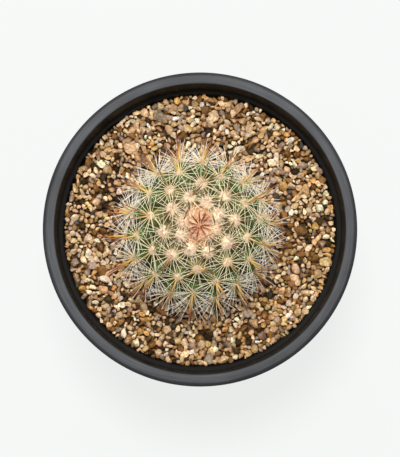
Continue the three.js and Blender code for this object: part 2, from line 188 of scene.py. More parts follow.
# Pot. One thin moulding of black plastic with a turned-out rim, a ledge inside it where pots nest,
# and a raised floor with drain holes inside a notched foot ring. Its flat rim is painted paler, partly
# as scuffs and partly as a painted sheen of the overhead lamp, which fades to black down the outer
# bevel as painted shade.
POT_RADIUS = pot_high.x
POT_HEIGHT = pot_high.z
BASE_RADIUS = 39.5 * MM
WALL = 1.3 * MM
MOUTH_RADIUS = POT_RADIUS - 4.4 * MM
LEDGE_Z = POT_HEIGHT - 10 * MM
LEDGE_RADIUS = MOUTH_RADIUS - 2 * MM
SKIRT_BOTTOM = POT_HEIGHT - 11 * MM
SKIRT_TAPER = 0.5 * MM
BEVEL_RUN = 1.35 * MM
BEVEL_DROP = 2.8 * MM
FOOT_HEIGHT = 2 * MM
FOOT_WIDTH = 4 * MM
FLOOR_TOP = 3.5 * MM
DRAIN_RADIUS = 3.5 * MM
DRAIN_CIRCLE = 27 * MM
DRAIN_COUNT = 6
NOTCH = (12 * MM, 9 * MM, 2.4 * MM)
POT_SIDES = 240
LONGEST_STEP = 4 * MM
SHARP_EDGE = math.radians(35)


def ring_faces(rows, sides):
    """Quads between rows of points, each row a closed ring of the same number of sides.

    With rings counter-clockwise from above and rows going up, faces point outwards.
    """
    row = np.arange(rows - 1)[:, None] * sides
    column = np.arange(sides)[None, :]
    after = (column + 1) % sides
    quads = np.stack([row + column, row + after, row + sides + after, row + sides + column], -1)
    return quads.reshape(-1, 4)


def loop_faces(rows, sides):
    """The quads of ring_faces for a closed outline, whose last row also joins its first."""
    last_row = (rows - 1) * sides
    side = np.arange(sides)
    after = (side + 1) % sides
    closing = np.stack([last_row + side, last_row + after, after, side], -1)
    return np.concatenate([ring_faces(rows, sides), closing])


def turned_points(radii, heights, sides):
    """Points of a turned surface: each profile point goes round the axis in equal steps."""
    turn = np.arange(sides) * 2 * math.pi / sides
    ring = np.stack([np.cos(turn), np.sin(turn)], -1)
    level = np.broadcast_to(np.asarray(heights)[:, None, None], (len(heights), sides, 1))
    return np.concatenate([np.asarray(radii)[:, None, None] * ring, level], -1).reshape(-1, 3)


def rounded_profile(corners, steps=5):
    """A closed outline whose corners (r, z, radius) are replaced by arcs that touch both sides."""
    corners = np.array(corners, float)
    here, radius = corners[:, :2], corners[:, 2]
    back = np.roll(here, 1, 0) - here
    ahead = np.roll(here, -1, 0) - here
    back /= np.linalg.norm(back, axis=1, keepdims=True)
    ahead /= np.linalg.norm(ahead, axis=1, keepdims=True)
    half_angle = np.arccos(np.clip((back * ahead).sum(1), -1, 1)) / 2
    reach = radius / np.tan(half_angle)
    middle = (back + ahead) / np.linalg.norm(back + ahead, axis=1, keepdims=True)
    centre = here + middle * (radius / np.sin(half_angle))[:, None]
    start = here + back * reach[:, None] - centre
    end = here + ahead * reach[:, None] - centre
    share = np.linspace(0, 1, steps)[None, :, None]
    arc = (1 - share) * start[:, None] + share * end[:, None]
    length = np.maximum(np.linalg.norm(arc, axis=2, keepdims=True), 1e-12)
    arc = centre[:, None] + arc / length * radius[:, None, None]
    return arc.reshape(-1, 2)


def split_long(profile, longest):
    """Adds equal steps on a closed outline's straight parts, so that none is longer than longest."""
    points = []
    for here, ahead in zip(profile, np.roll(profile, -1, 0)):
        steps = max(1, math.ceil(np.linalg.norm(ahead - here) / longest))
        points.extend(here + (ahead - here) * k / steps for k in range(steps))
    return np.array(points)


pot_corners = [
    (DRAIN_RADIUS, FOOT_HEIGHT, 0.3 * MM),
    (BASE_RADIUS - FOOT_WIDTH - 1 * MM, FOOT_HEIGHT, 0.5 * MM),
    (BASE_RADIUS - FOOT_WIDTH, 0, 0.4 * MM),
    (BASE_RADIUS, 0, 0.9 * MM),
    (LEDGE_RADIUS + WALL, LEDGE_Z - WALL, 0.5 * MM),
    (MOUTH_RADIUS + WALL - 0.4 * MM, LEDGE_Z, 0.2 * MM),
    (MOUTH_RADIUS + WALL, POT_HEIGHT - WALL, 0.5 * MM),
    (POT_RADIUS - WALL, POT_HEIGHT - WALL, 0.5 * MM),
    (POT_RADIUS - WALL - SKIRT_TAPER, SKIRT_BOTTOM, 0.25 * MM),
    (POT_RADIUS - SKIRT_TAPER, SKIRT_BOTTOM, 0.4 * MM),
    (POT_RADIUS, POT_HEIGHT - BEVEL_DROP, 0.7 * MM),
    (POT_RADIUS - BEVEL_RUN, POT_HEIGHT, 0.25 * MM),
    (MOUTH_RADIUS, POT_HEIGHT, 0.5 * MM),
    (MOUTH_RADIUS - 0.7 * MM, LEDGE_Z + 0.8 * MM, 0.6 * MM),
    (LEDGE_RADIUS, LEDGE_Z, 0.6 * MM),
    (BASE_RADIUS - WALL, FLOOR_TOP, 0.8 * MM),
    (DRAIN_RADIUS, FLOOR_TOP, 0.3 * MM),
]
pot_profile = split_long(rounded_profile(pot_corners), LONGEST_STEP)
pot_points = turned_points(pot_profile[:, 0], pot_profile[:, 1], POT_SIDES)
pot = add_piece("pot_moulding", pot_points, loop_faces(len(pot_profile), POT_SIDES))


def box_points(size, centre, turn):
    """The eight corners of a box of that size, moved to centre and turned about the axis."""
    signs = np.array([[x, y, z] for z in (-1, 1) for y in (-1, 1) for x in (-1, 1)])
    points = signs * np.array(size) / 2 + np.array(centre)
    cos, sin = math.cos(turn), math.sin(turn)
    return points @ np.array([[cos, sin, 0], [-sin, cos, 0], [0, 0, 1]])


BOX_FACES = np.array([
    [0, 2, 3, 1], [4, 5, 7, 6], [0, 1, 5, 4], [2, 6, 7, 3], [0, 4, 6, 2], [1, 3, 7, 5]])
cutters = bpy.data.collections.new("cutters")
HOLE_SIDES = 32
for k in range(DRAIN_COUNT):
    turn = (k + 0.5) * 2 * math.pi / DRAIN_COUNT
    drill_points = turned_points([DRAIN_RADIUS] * 2, [-FLOOR_TOP, 3 * FLOOR_TOP], HOLE_SIDES)
    drill_points += DRAIN_CIRCLE * np.array([math.cos(turn), math.sin(turn), 0])
    caps = np.stack([np.arange(HOLE_SIDES)[::-1], HOLE_SIDES + np.arange(HOLE_SIDES)])
    drill = add_piece("drill", drill_points, ring_faces(2, HOLE_SIDES), caps, smooth=False)
    notch_points = box_points(NOTCH, (BASE_RADIUS, 0, 0), turn)
    notch = add_piece("notch", notch_points, BOX_FACES, smooth=False)
    for cutter in (drill, notch):
        bpy.context.scene.collection.objects.unlink(cutter)
        cutters.objects.link(cutter)
cut = pot.modifiers.new("holes", "BOOLEAN")
cut.operation = "DIFFERENCE"
cut.operand_type = "COLLECTION"
cut.collection = cutters
cut.solver = "EXACT"
bpy.context.view_layer.update()
cut_mesh = bpy.data.meshes.new_from_object(pot.evaluated_get(bpy.context.evaluated_depsgraph_get()))
pot.modifiers.clear()
pot.data = cut_mesh
for cutter in list(cutters.objects):
    bpy.data.objects.remove(cutter)
bpy.data.collections.remove(cutters)
pot.data.polygons.foreach_set("use_smooth", np.full(len(pot.data.polygons), True))
pot.data.set_sharp_from_angle(angle=SHARP_EDGE)


def add_math(tree, operation, first, second, **settings):
    """The result of a math node on two sockets or numbers."""
    node = add_node(tree, "ShaderNodeMath", {0: first, 1: second}, operation=operation, **settings)
    return node.outputs[0]


def blend_colours(tree, factor, first, second, blend_type="MIX"):
    """Mixes two colours, given as sockets or as plain colours."""
    node = add_node(tree, "ShaderNodeMix", data_type="RGBA", blend_type=blend_type)
    for key, value in ((0, factor), (6, first), (7, second)):
        if isinstance(value, bpy.types.NodeSocket):
            tree.links.new(value, node.inputs[key])
        elif key == 0:
            node.inputs[key].default_value = value
        else:
            node.inputs[key].default_value = (*value, 1.0)
    return node.outputs[2]


def toned(tree, colour, tone):
    """A colour multiplied by a tone."""
    return blend_colours(tree, 1.0, colour, tone, blend_type="MULTIPLY")


def add_bump(tree, shader, height, distance, strength=1.0):
    """Bumps the shader's normal by a height. distance is in metres."""
    bump = add_node(tree, "ShaderNodeBump", {"Height": height, "Strength": strength, "Distance": distance})
    tree.links.new(bump.outputs[0], shader.inputs["Normal"])


plastic, tree, shader = new_material("black_plastic", roughness=0.5)
object_space = add_node(tree, "ShaderNodeTexCoord").outputs["Object"]
axes = add_node(tree, "ShaderNodeSeparateXYZ", {"Vector": object_space}).outputs
flat = add_node(tree, "ShaderNodeVectorMath", {0: object_space, 1: (1.0, 1.0, 0.0)}, operation="MULTIPLY")
radius = add_node(tree, "ShaderNodeVectorMath", {0: flat.outputs[0]}, operation="LENGTH").outputs["Value"]
STREAK_TURN = 1.5 * MM
heading = add_node(tree, "ShaderNodeVectorMath", {0: flat.outputs[0]}, operation="NORMALIZE").outputs[0]
heading = add_node(
    tree, "ShaderNodeVectorMath", {0: heading, "Scale": STREAK_TURN}, operation="SCALE").outputs[0]
level = add_math(tree, "ADD", radius, axes["Z"])
level = add_node(tree, "ShaderNodeCombineXYZ", {"Z": level}).outputs[0]
rings = add_node(tree, "ShaderNodeVectorMath", {0: heading, 1: level}, operation="ADD").outputs[0]
soft_drift = add_node(tree, "ShaderNodeTexNoise", {"Vector": object_space, "Scale": 40.0, "Detail": 3.0})
streaks = add_node(tree, "ShaderNodeTexNoise", {"Vector": rings, "Scale": 2600.0, "Detail": 2.0})
fine = add_node(tree, "ShaderNodeTexNoise", {"Vector": object_space, "Scale": 900.0, "Detail": 4.0})
on_rim = add_node(tree, "ShaderNodeMapRange", {
    "Value": axes["Z"], "From Min": POT_HEIGHT - BEVEL_DROP, "From Max": POT_HEIGHT - 0.1 * MM}).outputs[0]
inside = add_node(tree, "ShaderNodeMapRange", {
    "Value": radius, "From Min": MOUTH_RADIUS + 0.5 * MM, "From Max": MOUTH_RADIUS - 0.1 * MM}).outputs[0]
BLACK = (0.012, 0.012, 0.013)
SCUFF_AND_SHEEN = (0.061, 0.0635, 0.0705)
INNER_LIP_DARK = (0.016, 0.0156, 0.0152)
PLAIN_SHINE = (0.16, 0.16, 0.16)
DULL_SHINE = (0.04, 0.04, 0.04)
INNER_SHINE = (0.06, 0.06, 0.06)
DUST = (0.55, 0.53, 0.5)
SCUFF_SHEEN_GAIN = 1.8
SPECK_LEVEL = 0.87
SPECK_SIZE = 0.06
rim_shine = ramp(tree, on_rim, [
    (0.0, PLAIN_SHINE), (0.08, DULL_SHINE), (0.9, DULL_SHINE), (1.0, PLAIN_SHINE)])
shine = blend_colours(tree, inside, rim_shine, INNER_SHINE)
tree.links.new(shine, shader.inputs["Specular IOR Level"])
# Paler rim top: partly scuffs, partly a painted sheen of the overhead lamp. on_rim fades it to black down the
# bevel as painted shade on the shoulder that turns away from the light.
scuff_sheen_mask = add_math(tree, "MULTIPLY", on_rim, soft_drift.outputs["Fac"])
scuff_sheen_mask = add_math(tree, "MULTIPLY", scuff_sheen_mask, SCUFF_SHEEN_GAIN, use_clamp=True)
skin = blend_colours(tree, scuff_sheen_mask, BLACK, SCUFF_AND_SHEEN)
# Inside the mouth the colour is kept near black instead of the paler rim colour.
skin = blend_colours(tree, inside, skin, INNER_LIP_DARK)
streak_tone = ramp(tree, streaks.outputs["Fac"], [(0.35, (0.72, 0.72, 0.72)), (0.65, (1.08, 1.08, 1.08))])
skin = toned(tree, skin, streak_tone)
specks = add_node(tree, "ShaderNodeTexVoronoi", {"Vector": object_space, "Scale": 260.0})
speck_draw = add_node(tree, "ShaderNodeSeparateColor", {"Color": specks.outputs["Color"]}).outputs["Red"]
dust = add_math(tree, "GREATER_THAN", speck_draw, SPECK_LEVEL)
small = add_math(tree, "LESS_THAN", specks.outputs["Distance"], SPECK_SIZE)
high = add_math(tree, "GREATER_THAN", axes["Z"], SKIRT_BOTTOM)
within = add_math(tree, "LESS_THAN", radius, POT_RADIUS - 0.6 * MM)
for mask in (small, high, within):
    dust = add_math(tree, "MULTIPLY", dust, mask)
skin = blend_colours(tree, dust, skin, DUST)
tree.links.new(skin, shader.inputs["Base Color"])
height = add_math(tree, "ADD", streaks.outputs["Fac"], fine.outputs["Fac"])
add_bump(tree, shader, height, 0.0001, strength=0.25)
pot.data.materials.clear()
pot.data.materials.append(plastic)
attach(pot, "root")
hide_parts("pot")

# Soil. Dark potting mix that fills the pot below the gravel. Only the drain holes show it, so the
# model's own solid stays and takes a crumbly finish.
soil_paint, tree, shader = new_material("potting_mix", roughness=0.95, Specular_IOR_Level=0.2)
object_space = add_node(tree, "ShaderNodeTexCoord").outputs["Object"]
crumbs = add_node(tree, "ShaderNodeTexVoronoi", {"Vector": object_space, "Scale": 700.0})
clods = add_node(tree, "ShaderNodeTexNoise", {"Vector": object_space, "Scale": 300.0, "Detail": 5.0})
soil_colour = ramp(tree, clods.outputs["Fac"], [(0.3, (0.012, 0.008, 0.005)), (0.7, (0.07, 0.044, 0.026))])
tree.links.new(soil_colour, shader.inputs["Base Color"])
add_bump(tree, shader, crumbs.outputs["Distance"], 0.0006)
soil = frame["nodes"]["soil"]
soil.data.materials.clear()
soil.data.materials.append(soil_paint)

# Gravel. Loose grit with worn edges, a few millimetres across, poured over the soil round the stem.
# Stones lie in two layers over a bed of the finest grit, and meet the pot's wall and the stem.
# The under layer and the bed are darkened as painted shade in the gaps between the top stones.
GRAVEL_TOP = POT_HEIGHT - 12 * MM
GRAVEL_DEPTH = 10 * MM
SOIL_TOP = GRAVEL_TOP - GRAVEL_DEPTH
STEM_RADIUS = 15 * MM
PLANT_FOOT = np.array([-1.6, -0.8]) * MM
WALL_SLOPE = (LEDGE_RADIUS - BASE_RADIUS + WALL) / (LEDGE_Z - FLOOR_TOP)
WALL_AT_GRAVEL = LEDGE_RADIUS - (LEDGE_Z - GRAVEL_TOP) * WALL_SLOPE
BED_SINK = 2.2 * MM
BED_UNEVEN = 0.5
BED_SIDES = 200
BED_STEPS = 40
bed_outer = WALL_AT_GRAVEL - 0.6 * MM
bed_inner = STEM_RADIUS + 0.4 * MM
bed_radii = np.concatenate([
    [bed_inner, bed_outer - GRAVEL_DEPTH * WALL_SLOPE], np.linspace(bed_outer, bed_inner, BED_STEPS)])
bed_heights = np.concatenate([[SOIL_TOP, SOIL_TOP], np.full(BED_STEPS, GRAVEL_TOP - BED_SINK)])
bed_points = turned_points(bed_radii, bed_heights, BED_SIDES)
draw = np.random.default_rng(3)
on_top = np.repeat(np.arange(len(bed_radii)) > 2, BED_SIDES)
bed_points[:, 2] += np.where(on_top, draw.uniform(-BED_UNEVEN, BED_UNEVEN, len(bed_points)) * MM, 0)
edge_fade = (np.hypot(bed_points[:, 0], bed_points[:, 1]) - bed_inner) / (bed_outer - bed_inner)
bed_points[:, :2] += PLANT_FOOT * (1 - np.clip(edge_fade, 0, 1))[:, None]
bed = add_piece("gravel_bed", bed_points, loop_faces(len(bed_radii), BED_SIDES))

SETTLE_ROUNDS = 70
PUSH_SHARE = 0.3
WALL_ROOM = 1.15
TINY = 1e-9


def settle(count, radii, draw, rounds):
    """Places discs in the ring of gravel: random places, then overlapping pairs push apart in rounds.

    A push is PUSH_SHARE of the overlap, along the line between the two middles.
    """
    span = draw.uniform((STEM_RADIUS / WALL_AT_GRAVEL) ** 2, 1.0, count) ** 0.5 * WALL_AT_GRAVEL
    turn = draw.uniform(0, 2 * math.pi, count)
    places = np.stack([span * np.cos(turn), span * np.sin(turn)], -1).astype(np.float32)
    room = (radii[:, None] + radii[None, :]).astype(np.float32)
    for _ in range(rounds):
        gap_x = places[:, 0][:, None] - places[:, 0][None, :]
        gap_y = places[:, 1][:, None] - places[:, 1][None, :]
        distance = np.sqrt(gap_x * gap_x + gap_y * gap_y) + TINY
        push = np.clip(room - distance, 0, None) / distance * PUSH_SHARE
        np.fill_diagonal(push, 0)
        places += np.stack([(gap_x * push).sum(1), (gap_y * push).sum(1)], -1)
        from_axis = np.linalg.norm(places, axis=1, keepdims=True) + TINY
        limit = WALL_AT_GRAVEL - WALL_ROOM * radii[:, None]
        places *= np.minimum(1.0, limit / from_axis)
        from_stem = places - PLANT_FOOT
        distance = np.linalg.norm(from_stem, axis=1, keepdims=True) + TINY
        limit = STEM_RADIUS + radii[:, None]
        places = (PLANT_FOOT + from_stem * np.maximum(1.0, limit / distance)).astype(np.float32)
    return places


def cube_ball(cuts):
    """Points on a unit ball and its quads, made from a cube whose faces have that many cuts."""
    steps = np.tan(np.linspace(-math.pi / 4, math.pi / 4, cuts + 1))
    a, b = np.meshgrid(steps, steps, indexing="ij")
    one = np.ones_like(a)
    sheets = [(a, b, one), (b, a, -one), (one, a, b), (-one, b, a), (b, one, a), (a, -one, b)]
    points = np.concatenate([np.stack(sheet, -1).reshape(-1, 3) for sheet in sheets])
    cell = np.arange(cuts)[:, None] * (cuts + 1) + np.arange(cuts)[None, :]
    quad = np.stack([cell, cell + cuts + 1, cell + cuts + 2, cell + 1], -1).reshape(-1, 4)
    quads = np.concatenate([quad + k * (cuts + 1) ** 2 for k in range(len(sheets))])
    merged, places = np.unique(np.round(points, 6), axis=0, return_inverse=True)
    merged /= np.linalg.norm(merged, axis=1, keepdims=True)
    return merged, places.reshape(-1)[quads]


def turn_matrices(draw, count):
    """Random turns in space, one matrix each, from random unit quaternions."""
    q = draw.normal(size=(count, 4))
    w, x, y, z = (q / np.linalg.norm(q, axis=1, keepdims=True)).T
    rows = [
        [1 - 2 * (y * y + z * z), 2 * (x * y - w * z), 2 * (x * z + w * y)],
        [2 * (x * y + w * z), 1 - 2 * (x * x + z * z), 2 * (y * z - w * x)],
        [2 * (x * z - w * y), 2 * (y * z + w * x), 1 - 2 * (x * x + y * y)],
    ]
    return np.moveaxis(np.array(rows), -1, 0)


CUT_PLANES = 8
CUT_OFFSETS = (0.36, 0.86)
EDGE_SHARPNESS = 60.0
STONE_STRETCH = [(0.95, 1.4), (0.75, 1.1), (0.62, 1.0)]


def stone_points(ball, radii, centres, draw):
    """Worn grit: each ball is cut back by a few random planes with worn edges, then stretched.

    Along a direction u the surface lies at the soft minimum of 1 and offset / (u . normal).
    """
    count = len(radii)
    normals = draw.normal(size=(count, CUT_PLANES, 3))
    normals /= np.linalg.norm(normals, axis=2, keepdims=True)
    offsets = draw.uniform(*CUT_OFFSETS, (count, 1, CUT_PLANES))
    facing = np.einsum("vk,npk->nvp", ball, normals)
    cut = offsets / np.maximum(facing, 1e-3)
    reach = (1.0 + (cut ** -EDGE_SHARPNESS).sum(2)) ** (-1 / EDGE_SHARPNESS)
    shape = ball[None] * reach[:, :, None]
    shape *= np.stack([draw.uniform(low, high, count) for low, high in STONE_STRETCH], -1)[:, None, :]
    shape = np.einsum("nij,nvj->nvi", turn_matrices(draw, count), shape)
    return shape * radii[:, None, None] + centres[:, None, :]


STONE_COLOURS = {
    "tan": (0.29, (0.54, 0.36, 0.19)),
    "sand": (0.22, (0.74, 0.54, 0.33)),
    "cream": (0.14, (0.86, 0.69, 0.49)),
    "straw": (0.04, (0.68, 0.5, 0.24)),
    "ochre": (0.04, (0.64, 0.37, 0.13)),
    "brown": (0.13, (0.24, 0.12, 0.038)),
    "charcoal": (0.045, (0.05, 0.03, 0.011)),
    "slate": (0.012, (0.065, 0.064, 0.052)),
    "grey": (0.09, (0.41, 0.33, 0.25)),
    "mauve": (0.06, (0.35, 0.25, 0.18)),
    "white": (0.025, (0.9, 0.81, 0.69)),
    "rose": (0.008, (0.56, 0.34, 0.2)),
}
gravel_paint, tree, shader = new_material("worn_grit", roughness=0.6, Specular_IOR_Level=0.16)
object_space = add_node(tree, "ShaderNodeTexCoord").outputs["Object"]
own_colour = add_node(tree, "ShaderNodeAttribute", attribute_name="stone_colour").outputs["Color"]
mottle = add_node(tree, "ShaderNodeTexNoise", {"Vector": object_space, "Scale": 1300.0, "Detail": 4.0})
veins = add_node(tree, "ShaderNodeTexNoise", {"Vector": object_space, "Scale": 420.0, "Detail": 3.0})
mottle_tone = ramp(tree, mottle.outputs["Fac"], [(0.34, (0.62, 0.57, 0.5)), (0.64, (1.22, 1.2, 1.18))])
vein_tone = ramp(tree, veins.outputs["Fac"], [(0.35, (0.74, 0.68, 0.62)), (0.6, (1.04, 1.04, 1.04))])
stone_skin = toned(tree, own_colour, mottle_tone)
stone_skin = toned(tree, stone_skin, vein_tone)
tree.links.new(stone_skin, shader.inputs["Base Color"])
grit_rough = add_node(tree, "ShaderNodeMapRange", {
    "Value": veins.outputs["Fac"], "To Min": 0.35, "To Max": 0.8}).outputs[0]
tree.links.new(grit_rough, shader.inputs["Roughness"])
add_bump(tree, shader, mottle.outputs["Fac"], 0.0002, strength=0.5)


def colour_points(piece, name, colours):
    """Stores one colour for each point of a piece, as an attribute that its material reads."""
    attribute = piece.data.color_attributes.new(name, "FLOAT_COLOR", "POINT")
    rgba = np.concatenate([colours, np.ones((len(colours), 1))], 1)
    attribute.data.foreach_set("color", rgba.astype(np.float32).ravel())


SIZE_SPREAD = 0.32
TONE_RANGE = (0.62, 1.16)
TINT_SPREAD = 0.025
STONE_SWELL = 1.2
STONE_EDGE = math.radians(34)
MOST_QUADS = 90000
BARE = np.array([1.14, 1.13, 1.12])
# The under layer's colours are multiplied down: painted shade for the stones seen in the gaps.
UNDER_LAYER_SHADE = np.array([0.5, 0.35, 0.14])
# The bed is painted near black as the shade in the gaps between stones.
BED_SHADE_COLOUR = np.array([[0.034, 0.016, 0.004]])
BED_TONES = (0.6, 1.6)


def lay_stones(name, count, sizes, level, scatter, cuts, shade, seed):
    """Lays a layer of stones round the stem, with their tops near one level, and colours each.

    sizes are the smallest, usual and largest widths in millimetres. A layer of more than
    MOST_QUADS is made in two halves.
    """
    draw = np.random.default_rng(seed)
    low, usual, high = sizes
    radii = np.clip(draw.lognormal(math.log(usual), SIZE_SPREAD, count), low, high) * MM / 2
    places = settle(count, radii, draw, SETTLE_ROUNDS)
    heights = level - radii + draw.uniform(-scatter, scatter, count)
    centres = np.concatenate([places, heights[:, None]], 1)
    ball, quads = cube_ball(cuts)
    points = stone_points(ball, radii * STONE_SWELL, centres, draw)
    shares = np.array([share for share, _ in STONE_COLOURS.values()])
    palette = np.array([colour for _, colour in STONE_COLOURS.values()])
    kinds = draw.choice(len(palette), count, p=shares / shares.sum())
    tones = shade * draw.uniform(*TONE_RANGE, (count, 1)) * draw.normal(1, TINT_SPREAD, (count, 3))
    colours = np.clip(palette[kinds] * tones, 0.01, 0.9)
    pieces = []
    halves = np.array_split(np.arange(count), 2 if count * len(quads) > MOST_QUADS else 1)
    for number, chosen in enumerate(halves):
        shape = points[chosen].reshape(-1, 3)
        faces = (quads[None] + np.arange(len(chosen))[:, None, None] * len(ball)).reshape(-1, 4)
        piece = add_piece(f"{name}_{number + 1}", shape, faces)
        piece.data.set_sharp_from_angle(angle=STONE_EDGE)
        colour_points(piece, "stone_colour", np.repeat(colours[chosen], len(ball), 0))
        pieces.append(piece)
    return pieces


stones = lay_stones(
    "stones_top", count=1900, sizes=(1.1, 1.85, 4.8), level=GRAVEL_TOP + 0.8 * MM,
    scatter=0.5 * MM, cuts=4, shade=BARE, seed=21)
stones += lay_stones(
    "stones_under", count=1500, sizes=(1.4, 2.2, 3.4), level=GRAVEL_TOP - 1.3 * MM,
    scatter=0.4 * MM, cuts=2, shade=UNDER_LAYER_SHADE, seed=22)
colour_points(bed, "stone_colour", BED_SHADE_COLOUR * draw.uniform(*BED_TONES, (len(bed_points), 1)))
for piece in [bed, *stones]:
    piece.data.materials.append(gravel_paint)
    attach(piece, "root")
    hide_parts("gravel")

# Stem. The plant's own body: a green ball of tubercles in paired spirals, which narrows below the
# gravel into its tap root. Each tubercle is a rounded cone with a wool cushion on its tip.
BALL_RADIUS = 24.6 * MM
LOWER_HALF = 20 * MM
MIDDLE_HEIGHT = 14 * MM
PLANT_MIDDLE = GRAVEL_TOP + MIDDLE_HEIGHT
TUBERCLE_HEIGHT = 5 * MM
YOUNG_TUBERCLE_HEIGHT = 2 * MM
LEAN = np.array([0.0366, 0.018])
PAIR_TURN = math.radians(39.75)
PAIR_START = math.radians(130.5)
FIRST_PAIR = -2
LAST_PAIR = 34
CROWN_ARC = 4.4 * MM
ARC_STEP = 1.39 * MM
UPTURN = 0.5
ANGLE_SPREAD = 0.008
TURN_SPREAD = 0.02
ROOT_LENGTH = 30 * MM


def smooth_step(value, low, high):
    """0 below low, 1 above high, and an S-shaped rise between them."""
    share = np.clip((value - low) / (high - low), 0, 1)
    return share * share * (3 - 2 * share)


def growth(angle):
    """How far a tubercle has grown, from 0 at the crown to 1 on the flank."""
    return smooth_step(np.asarray(angle) * BALL_RADIUS, CROWN_ARC, BALL_RADIUS)


def plant_points(angle, turn, depth):
    """Places on the plant. A ball, flatter below its middle, is scaled in by depth, and leans."""
    shrink = 1 - depth / BALL_RADIUS
    half = np.where(np.cos(angle) > 0, BALL_RADIUS, LOWER_HALF)
    radius = BALL_RADIUS * np.sin(angle) * shrink
    z = PLANT_MIDDLE + half * np.cos(angle) * shrink
    rise = np.maximum(z - GRAVEL_TOP, 0)
    return np.stack([
        PLANT_FOOT[0] + LEAN[0] * rise + radius * np.cos(turn),
        PLANT_FOOT[1] + LEAN[1] * rise + radius * np.sin(turn), z], -1)


def unit_points(angle, turn):
    """Directions from the plant's middle: angle down from the crown, turn round it."""
    return np.stack([np.sin(angle) * np.cos(turn), np.sin(angle) * np.sin(turn), np.cos(angle)], -1)


def crown_point(depth):
    """The middle of the crown, scaled in by depth, as one row."""
    return plant_points(np.zeros(1), np.zeros(1), np.full(1, depth))


def end_fans(rows, sides):
    """Triangles that close both ends of rows of points, for rows going down.

    They meet in two points after the rows: the first row's tip, then the last row's.
    """
    last_row = (rows - 1) * sides
    side = np.arange(sides)
    after = (side + 1) % sides
    first_tip = np.full(sides, rows * sides)
    return np.concatenate([
        np.stack([first_tip, side, after], -1),
        np.stack([first_tip + 1, last_row + after, last_row + side], -1)])


pair = np.repeat(np.arange(FIRST_PAIR, LAST_PAIR + 1), 2)
other_side = np.tile([0.0, math.pi], len(pair) // 2)
draw = np.random.default_rng(5)
areole_angle = (CROWN_ARC + ARC_STEP * pair) / BALL_RADIUS + draw.normal(0, ANGLE_SPREAD, len(pair))
areole_turn = PAIR_START + PAIR_TURN * pair + other_side + draw.normal(0, TURN_SPREAD, len(pair))
areole_grown = growth(areole_angle)
areole_mark = unit_points(areole_angle, areole_turn)
areole_age = smooth_step(areole_angle, 0.6, math.pi / 2)
facing = areole_angle * (1 - UPTURN * areole_age)
areole_out = unit_points(facing, areole_turn)
areole_down = unit_points(facing + math.pi / 2, areole_turn)
areole_across = np.cross(areole_out, areole_down)

STEM_ROWS = 170
STEM_SIDES = 360
FIRST_ROW = 0.006
UNDER_BALL = math.acos(-MIDDLE_HEIGHT / LOWER_HALF)
NECK_START = math.radians(120)
TUBERCLES_END = math.radians(124)
TUBERCLE_POWER = 1.7
row_angle = np.linspace(FIRST_ROW, UNDER_BALL, STEM_ROWS)
angle, turn = np.meshgrid(row_angle, np.arange(STEM_SIDES) * 2 * math.pi / STEM_SIDES, indexing="ij")
angle, turn = angle.ravel(), turn.ravel()
closeness = unit_points(angle, turn).astype(np.float32) @ areole_mark.T.astype(np.float32)
distance = np.arccos(np.clip(closeness, -1, 1))
two_nearest = np.partition(distance, 1, axis=1)[:, :2]
nearest, second = two_nearest.min(1), two_nearest.max(1)
across_cell = 2 * nearest / np.maximum(nearest + second, 1e-6)
tubercle_share = 1 - across_cell ** TUBERCLE_POWER
axil_depth = YOUNG_TUBERCLE_HEIGHT + (TUBERCLE_HEIGHT - YOUNG_TUBERCLE_HEIGHT) * growth(angle)
tubercle_share *= 1 - smooth_step(angle, TUBERCLES_END, UNDER_BALL)
skin_points = plant_points(angle, turn, axil_depth * (1 - tubercle_share))
to_stem = smooth_step(angle, NECK_START, UNDER_BALL)[:, None]
stem_ring = np.stack([
    PLANT_FOOT[0] + STEM_RADIUS * np.cos(turn), PLANT_FOOT[1] + STEM_RADIUS * np.sin(turn),
    np.full(len(turn), GRAVEL_TOP + 0.8 * MM)], -1)
skin_points = skin_points * (1 - to_stem) + stem_ring * to_stem
root_radii = np.array([14.9, 14.0, 11.5, 9.0, 6.5, 4.0]) * MM
root_heights = GRAVEL_TOP - np.array([0.0, 10.0, 14.0, 18.0, 22.5, 26.4]) * MM
root_points = turned_points(root_radii, root_heights, STEM_SIDES) + np.append(PLANT_FOOT, 0)
root_tip = np.array([[*PLANT_FOOT, GRAVEL_TOP - ROOT_LENGTH]])
stem_points = np.concatenate([skin_points, root_points, crown_point(0.8 * MM), root_tip])
rows = STEM_ROWS + len(root_radii)
stem = add_piece(
    "stem_body", stem_points, ring_faces(rows, STEM_SIDES)[:, ::-1], end_fans(rows, STEM_SIDES))
skin_marks = np.zeros((len(stem_points), 3))
skin_marks[:len(angle), 0] = across_cell
skin_marks[:len(angle), 1] = growth(angle)
skin_marks[len(angle):, 2] = 1
colour_points(stem, "skin_marks", skin_marks)


def point_marks(tree, name):
    """The three shares stored for each point by colour_points, as outputs Red, Green and Blue."""
    marks = add_node(tree, "ShaderNodeAttribute", attribute_name=name).outputs["Color"]
    return add_node(tree, "ShaderNodeSeparateColor", {"Color": marks}).outputs


skin_paint, tree, shader = new_material(
    "cactus_skin", roughness=0.5, Specular_IOR_Level=0.14, Subsurface_Weight=0.08)
shader.inputs["Subsurface Radius"].default_value = (0.3, 1.0, 0.2)
shader.inputs["Subsurface Scale"].default_value = 0.001
object_space = add_node(tree, "ShaderNodeTexCoord").outputs["Object"]
marks = point_marks(tree, "skin_marks")
GREEN_TIP = (0.15, 0.205, 0.04)
GREEN_SIDE = (0.082, 0.13, 0.024)
GREEN_BASE = (0.05, 0.067, 0.01)
AXIL_SHADE = (0.026, 0.021, 0.003)
YOUNG_TIP = (0.48, 0.35, 0.12)
YOUNG_AXIL_SHADE = (0.17, 0.115, 0.03)
DOWN = (0.8, 0.42, 0.2)
ROOT_BROWN = (0.2, 0.13, 0.07)
